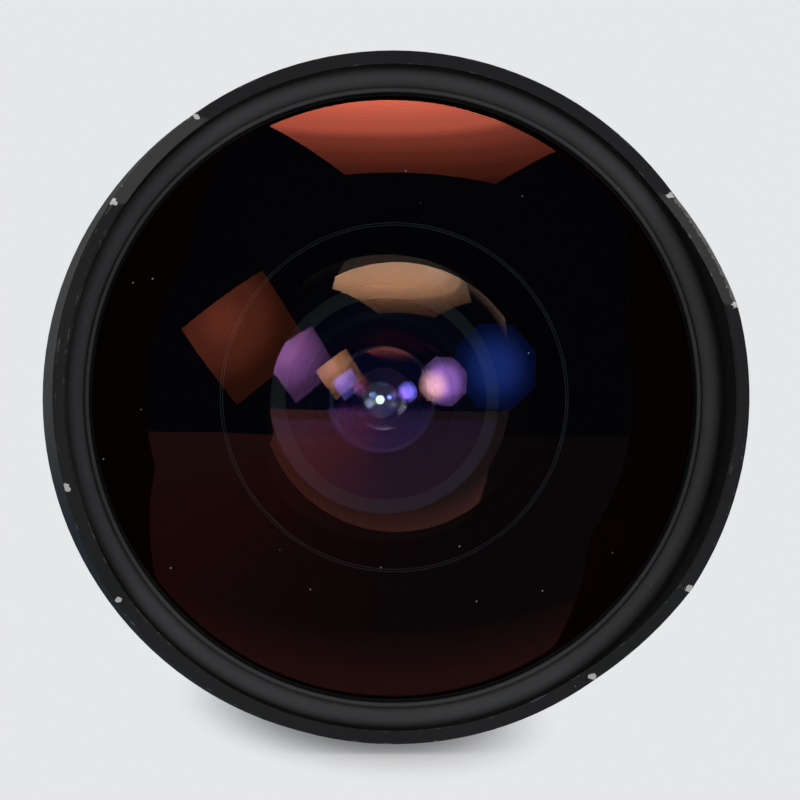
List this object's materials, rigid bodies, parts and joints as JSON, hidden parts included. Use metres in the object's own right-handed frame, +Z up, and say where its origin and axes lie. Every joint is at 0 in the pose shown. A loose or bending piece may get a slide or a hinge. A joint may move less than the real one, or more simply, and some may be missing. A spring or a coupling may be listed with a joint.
{
  "type": "wide-angle camera lens",
  "caption": "Fixed wide-angle lens with a bulging front element, a two-petal hood, focusing and aperture rings, a bladed iris and a bayonet mount.",
  "frame": {"origin": "centre of the bayonet's flange face, on the optical axis", "axes": "-Y along the optical axis towards the subject, +Z up, X across; the hood's petals lie at +X and -X"},
  "size_m": [0.0834, 0.1014, 0.0834],
  "materials": {
    "black_metal": "satin black anodised",
    "bright_mount": "satin chrome",
    "steel_screws": "bright steel",
    "black_screws": "blackened steel",
    "index_bead": "glossy red",
    "matt_black": "matt black anodised",
    "bronze": "turned bronze",
    "spring_steel": "polished",
    "grip_rubber": "matt ribbed rubber",
    "grey_black_ring": "satin grey black, finely turned",
    "seal_rubber": "matt",
    "front_glass": "coated, red-orange reflections",
    "coated_glass": "coated, violet and amber reflections",
    "blade_steel": "blackened steel"
  },
  "bodies": {
    "fixed_barrel": {"rear_barrel": "black_metal", "mount_ring": "bright_mount", "mount_screws": "steel_screws", "index_bead": "index_bead", "rear_baffle": "matt_black", "baffle_screws": "black_screws", "scale_ring": "black_metal", "scale_screws": "black_screws", "guide_keys": "bronze", "guide_key_screws": "steel_screws", "stop_pin": "steel_screws", "focus_retainer": "matt_black", "click_spring": "spring_steel", "click_spring_screw": "steel_screws"},
    "click_ball": {"click_ball": "spring_steel"},
    "stop_down_lever": {"stop_down_lever": "spring_steel"},
    "aperture_ring": {"aperture_ring": "black_metal", "aperture_key": "bronze", "aperture_key_screws": "steel_screws"},
    "focus_ring": {"focus_sleeve": "black_metal", "focus_nut": "bronze", "focus_set_screws": "steel_screws", "focus_grip": "grip_rubber"},
    "lens_unit": {"lens_tube": "matt_black", "front_barrel": "black_metal", "hood": "black_metal", "retaining_ring": "grey_black_ring", "front_seal": "seal_rubber", "front_cell": "matt_black", "cell_screws": "black_screws", "element_2_ring": "matt_black", "front_spacers": "matt_black", "front_group_ring": "matt_black", "iris_housing": "matt_black", "iris_cover": "matt_black", "iris_screws": "black_screws", "rear_cell": "matt_black", "element_7_ring": "matt_black", "rear_spacers": "matt_black", "rear_element_ring": "matt_black", "element_1": "front_glass", "element_2": "coated_glass", "element_3": "coated_glass", "element_4": "coated_glass", "element_5": "coated_glass", "element_6": "coated_glass", "element_7": "coated_glass", "element_8": "coated_glass", "element_9": "coated_glass", "element_10": "coated_glass", "element_11": "coated_glass", "element_12": "coated_glass", "element_13": "coated_glass"},
    "cam_ring": {"cam_ring": "bronze"},
    "iris_blade_1": {"iris_blade_1": "blade_steel"},
    "iris_blade_2": {"iris_blade_2": "blade_steel"},
    "iris_blade_3": {"iris_blade_3": "blade_steel"},
    "iris_blade_4": {"iris_blade_4": "blade_steel"},
    "iris_blade_5": {"iris_blade_5": "blade_steel"},
    "iris_blade_6": {"iris_blade_6": "blade_steel"}
  },
  "joints": [
    {"name": "focus_turn", "type": "hinge", "parent": "fixed_barrel", "child": "focus_ring", "pos_m": [0, -0.035, 0], "axis": [0, -1, 0], "range_deg": [0, 130]},
    {"name": "focus_slide", "type": "slide", "parent": "fixed_barrel", "child": "lens_unit", "axis": [0, -1, 0], "range_m": [0, 0.0042]},
    {"name": "aperture_turn", "type": "hinge", "parent": "fixed_barrel", "child": "aperture_ring", "pos_m": [0, -0.007, 0], "axis": [0, -1, 0], "range_deg": [-40.23, 3.11]},
    {"name": "cam_turn", "type": "hinge", "parent": "lens_unit", "child": "cam_ring", "pos_m": [0, -0.027, 0], "axis": [0, -1, 0], "range_deg": [-40.73, 3.61]},
    {"name": "lever_turn", "type": "hinge", "parent": "fixed_barrel", "child": "stop_down_lever", "pos_m": [0, -0.004, 0], "axis": [0, -1, 0], "range_deg": [0, 12], "stiffness_Nm_per_rad": 0.02},
    {"name": "click_ball_rise", "type": "slide", "parent": "fixed_barrel", "child": "click_ball", "axis": [0, 0, 1], "range_m": [0, 0.0003], "stiffness_N_per_m": 100},
    {"name": "blade_1_turn", "type": "hinge", "parent": "lens_unit", "child": "iris_blade_1", "pos_m": [0.012, -0.0284, 0], "axis": [0, -1, 0], "range_deg": [-20.36, 1.81]},
    {"name": "blade_2_turn", "type": "hinge", "parent": "lens_unit", "child": "iris_blade_2", "pos_m": [0.006, -0.0284, 0.01039], "axis": [0, -1, 0], "range_deg": [-20.36, 1.81]},
    {"name": "blade_3_turn", "type": "hinge", "parent": "lens_unit", "child": "iris_blade_3", "pos_m": [-0.006, -0.0284, 0.01039], "axis": [0, -1, 0], "range_deg": [-20.36, 1.81]},
    {"name": "blade_4_turn", "type": "hinge", "parent": "lens_unit", "child": "iris_blade_4", "pos_m": [-0.012, -0.0284, 0], "axis": [0, -1, 0], "range_deg": [-20.36, 1.81]},
    {"name": "blade_5_turn", "type": "hinge", "parent": "lens_unit", "child": "iris_blade_5", "pos_m": [-0.006, -0.0284, -0.01039], "axis": [0, -1, 0], "range_deg": [-20.36, 1.81]},
    {"name": "blade_6_turn", "type": "hinge", "parent": "lens_unit", "child": "iris_blade_6", "pos_m": [0.006, -0.0284, -0.01039], "axis": [0, -1, 0], "range_deg": [-20.36, 1.81]}
  ],
  "couplings": [
    {"joint": "focus_slide", "follows": "focus_turn", "m_per_rad": 0.0018511},
    {"joint": "cam_turn", "follows": "aperture_turn", "ratio": 1},
    {"joint": "blade_1_turn", "follows": "aperture_turn", "ratio": 0.5},
    {"joint": "blade_2_turn", "follows": "aperture_turn", "ratio": 0.5},
    {"joint": "blade_3_turn", "follows": "aperture_turn", "ratio": 0.5},
    {"joint": "blade_4_turn", "follows": "aperture_turn", "ratio": 0.5},
    {"joint": "blade_5_turn", "follows": "aperture_turn", "ratio": 0.5},
    {"joint": "blade_6_turn", "follows": "aperture_turn", "ratio": 0.5}
  ]
}
